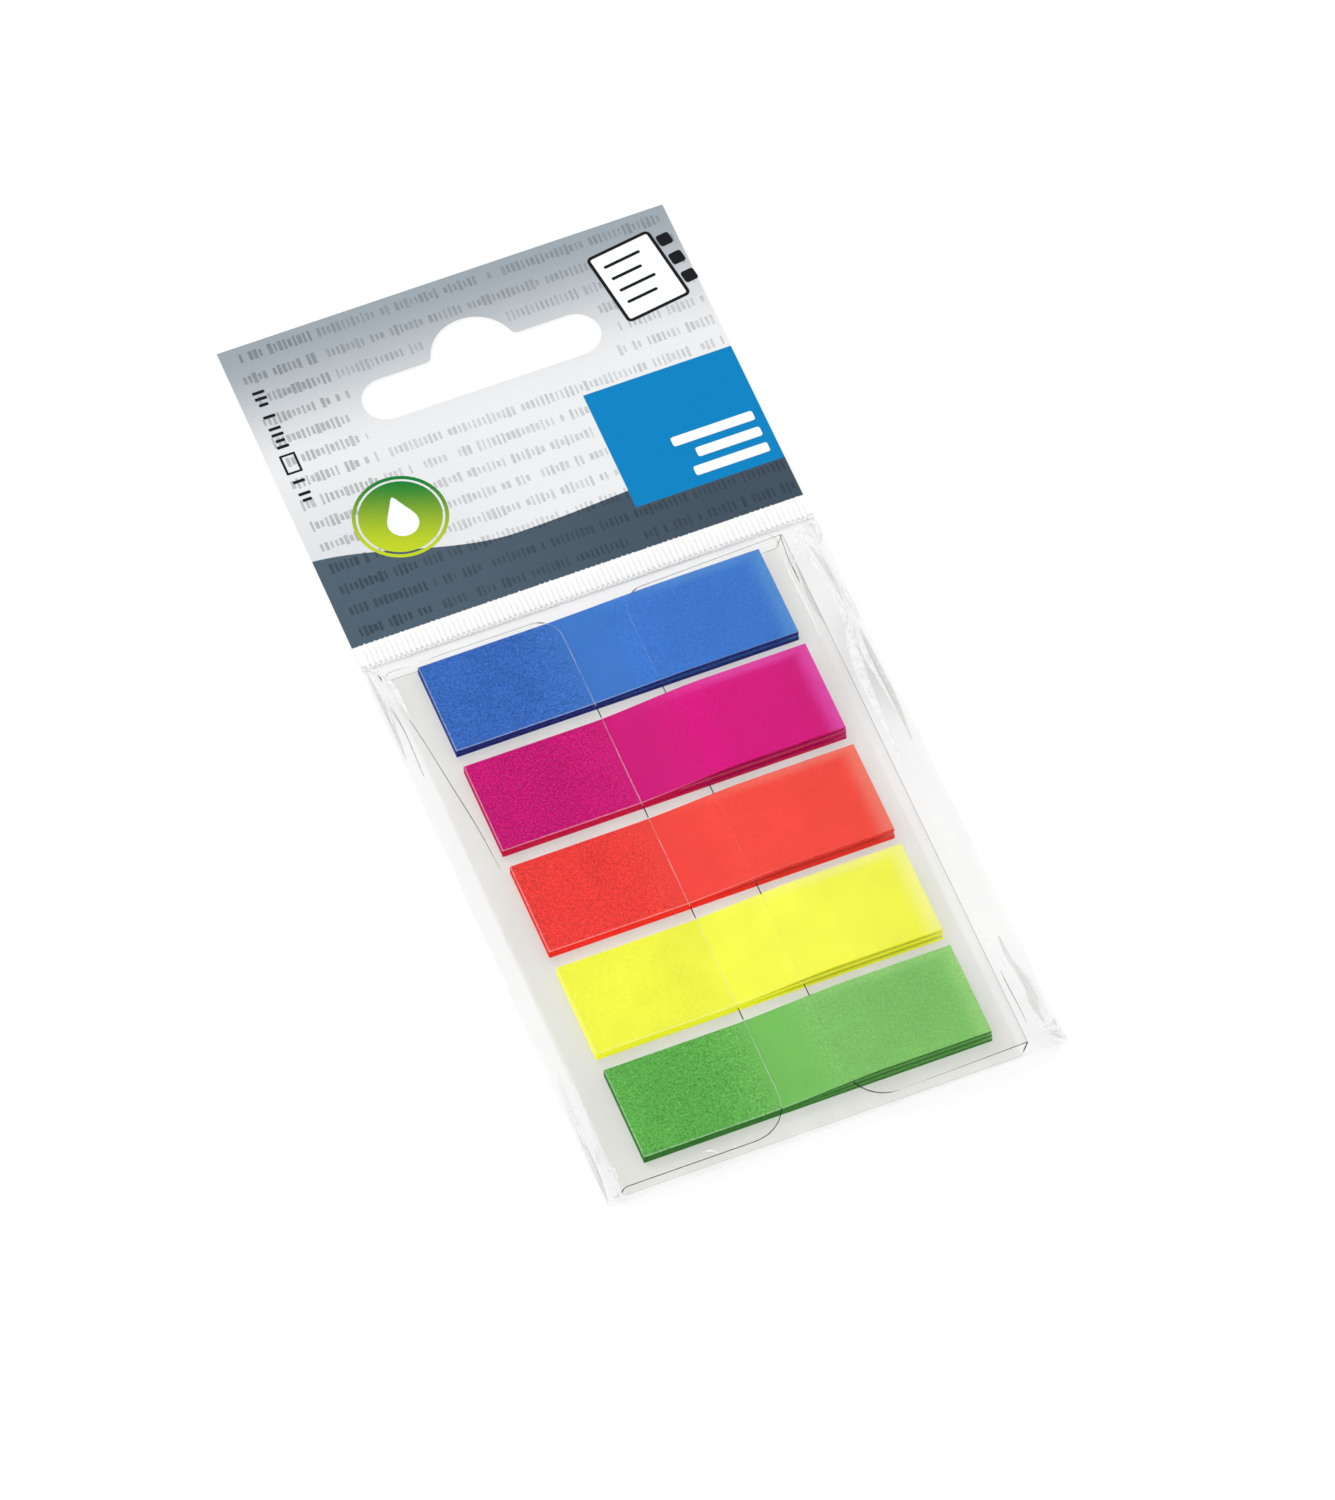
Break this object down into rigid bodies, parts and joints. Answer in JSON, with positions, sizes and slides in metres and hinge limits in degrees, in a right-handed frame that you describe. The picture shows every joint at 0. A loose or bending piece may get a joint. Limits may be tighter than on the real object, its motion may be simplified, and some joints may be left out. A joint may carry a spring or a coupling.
{
  "type": "sticky index tabs",
  "caption": "Hanging pack of sticky index tabs: pads of coloured film flags in a folded clear dispenser, inside a clear film bag welded to a printed header with a hanging slot.",
  "frame": {"origin": "under the middle of the pack, on the surface that it lies on", "axes": "+X across the pack to the right, +Y along the pack towards the header, +Z out of its front"},
  "size_m": [0.057, 0.1264, 0.0034],
  "materials": {
    "printed_film": "smooth printed film, grey fading to white, slate band and blue block",
    "dispenser_sheet": "clear stiff sheet, glossy, bright at cut edges",
    "blue_flags": "satin frosted film",
    "magenta_flags": "satin frosted film",
    "red_flags": "satin frosted film",
    "yellow_flags": "satin frosted film",
    "green_flags": "satin frosted film",
    "bag_film": "thin clear film, glossy, creased at the corners, white ribs in the weld"
  },
  "bodies": {
    "root": {"hang_header": "printed_film", "flag_dispenser": "dispenser_sheet", "blue_pad": "blue_flags", "magenta_pad": "magenta_flags", "red_pad": "red_flags", "yellow_pad": "yellow_flags", "green_pad": "green_flags", "film_bag": "bag_film"}
  },
  "joints": []
}
